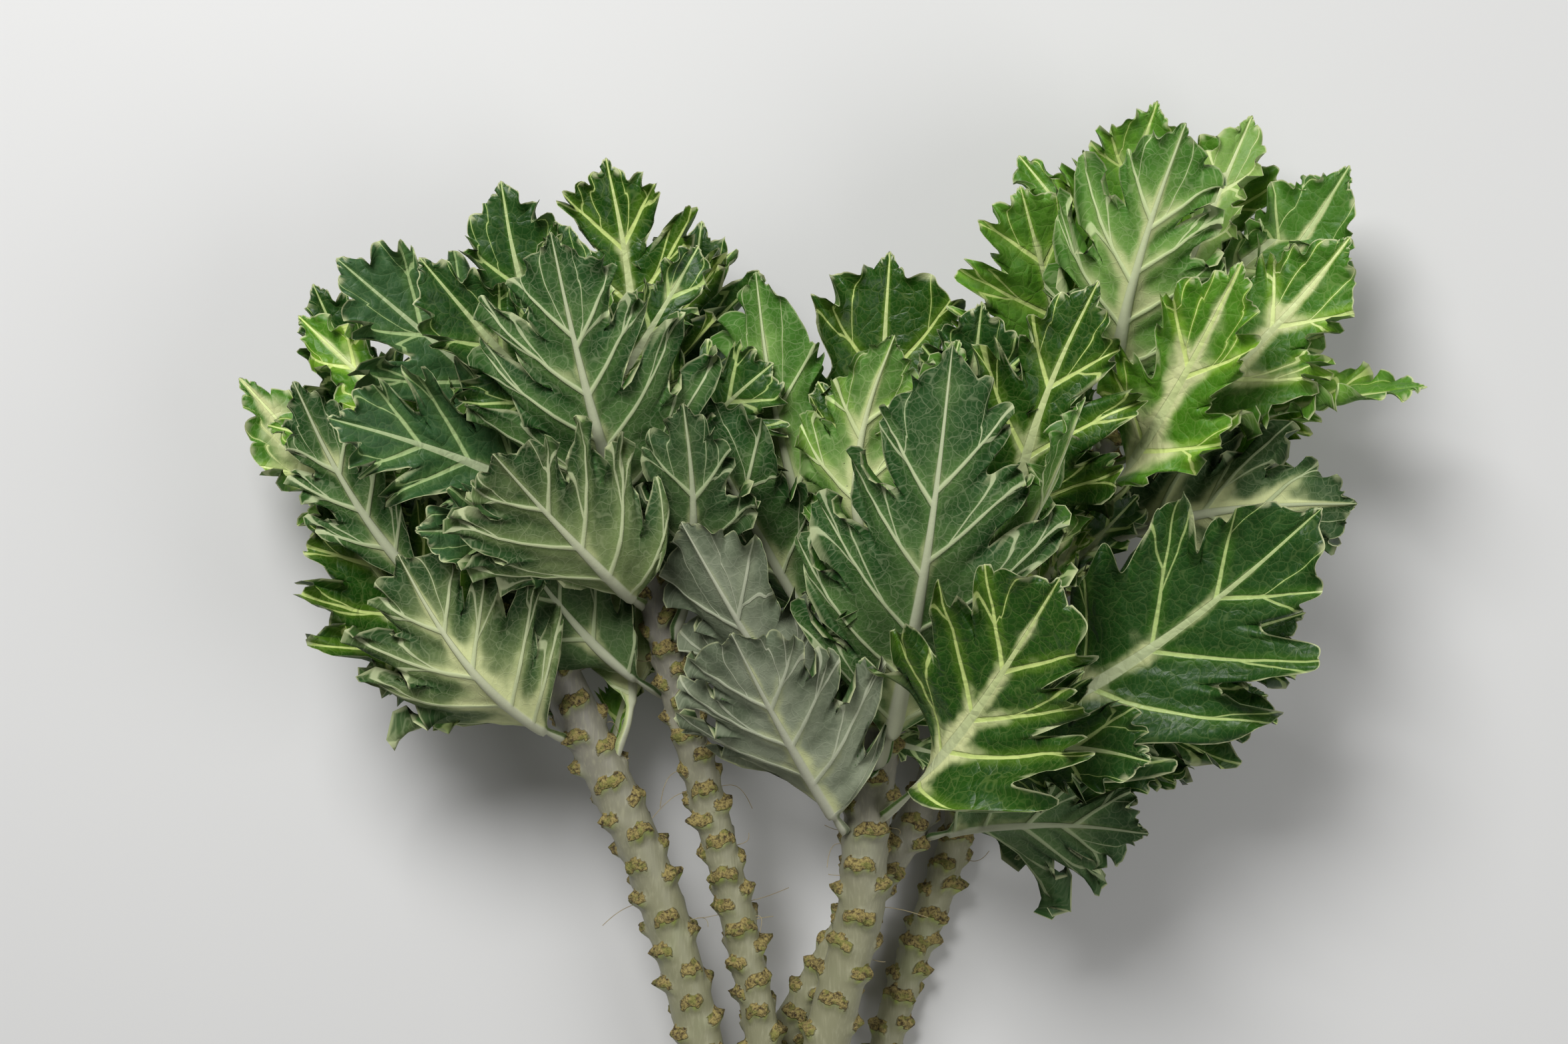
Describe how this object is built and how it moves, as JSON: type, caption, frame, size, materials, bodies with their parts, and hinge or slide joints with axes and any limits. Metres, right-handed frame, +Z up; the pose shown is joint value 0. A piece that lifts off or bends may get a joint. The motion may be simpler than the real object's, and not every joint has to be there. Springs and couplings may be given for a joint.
{
  "type": "ornamental kale bunch",
  "caption": "Bunch of cut ornamental kale stems with open leafy heads of lobed, pale-veined leaves, lying on its back on a flat surface.",
  "frame": {"origin": "on the surface that the bunch lies on, at the middle of its bounding box in plan", "axes": "+Z up from the surface, +Y along the stems from the cut ends to the leafy heads, +X across the bunch"},
  "size_m": [0.5372, 0.4948, 0.1949],
  "materials": {
    "stem": "pale grey-green waxy stalk with brown leaf scars",
    "dark_leaf": "dark green leaf with a slight gloss and pale cream veins",
    "light_leaf": "light green leaf with a slight gloss and cream veins",
    "grey_leaf": "matte grey-green leaf underside with raised pale veins"
  },
  "bodies": {
    "root": {"stem_a": "stem", "stem_b": "stem", "stem_c": "stem", "stem_d": "stem", "stem_e": "stem", "leaf_a01": "grey_leaf", "leaf_a02": "grey_leaf", "leaf_a03": "light_leaf", "leaf_a04": "dark_leaf", "leaf_a05": "dark_leaf", "leaf_a06": "light_leaf", "leaf_a07": "light_leaf", "leaf_a08": "dark_leaf", "leaf_a09": "dark_leaf", "leaf_a10": "dark_leaf", "leaf_b01": "dark_leaf", "leaf_b02": "grey_leaf", "leaf_b03": "grey_leaf", "leaf_b04": "dark_leaf", "leaf_b05": "grey_leaf", "leaf_b06": "light_leaf", "leaf_b07": "dark_leaf", "leaf_b08": "dark_leaf", "leaf_b09": "dark_leaf", "leaf_b10": "dark_leaf", "leaf_b11": "dark_leaf", "leaf_b12": "dark_leaf", "leaf_b13": "dark_leaf", "leaf_b14": "dark_leaf", "leaf_c01": "grey_leaf", "leaf_c02": "grey_leaf", "leaf_c03": "dark_leaf", "leaf_c04": "dark_leaf", "leaf_c05": "grey_leaf", "leaf_c06": "dark_leaf", "leaf_c07": "light_leaf", "leaf_c08": "dark_leaf", "leaf_c09": "grey_leaf", "leaf_c10": "dark_leaf", "leaf_c11": "light_leaf", "leaf_c12": "dark_leaf", "leaf_d01": "dark_leaf", "leaf_d02": "dark_leaf", "leaf_d03": "dark_leaf", "leaf_d04": "dark_leaf", "leaf_d05": "dark_leaf", "leaf_d06": "dark_leaf", "leaf_d07": "dark_leaf", "leaf_d08": "grey_leaf", "leaf_d09": "dark_leaf", "leaf_e01": "light_leaf", "leaf_e02": "light_leaf", "leaf_e03": "dark_leaf", "leaf_e04": "light_leaf", "leaf_e05": "light_leaf", "leaf_e06": "dark_leaf", "leaf_e07": "dark_leaf", "leaf_e08": "light_leaf", "leaf_e09": "dark_leaf", "leaf_e10": "dark_leaf"}
  },
  "joints": []
}
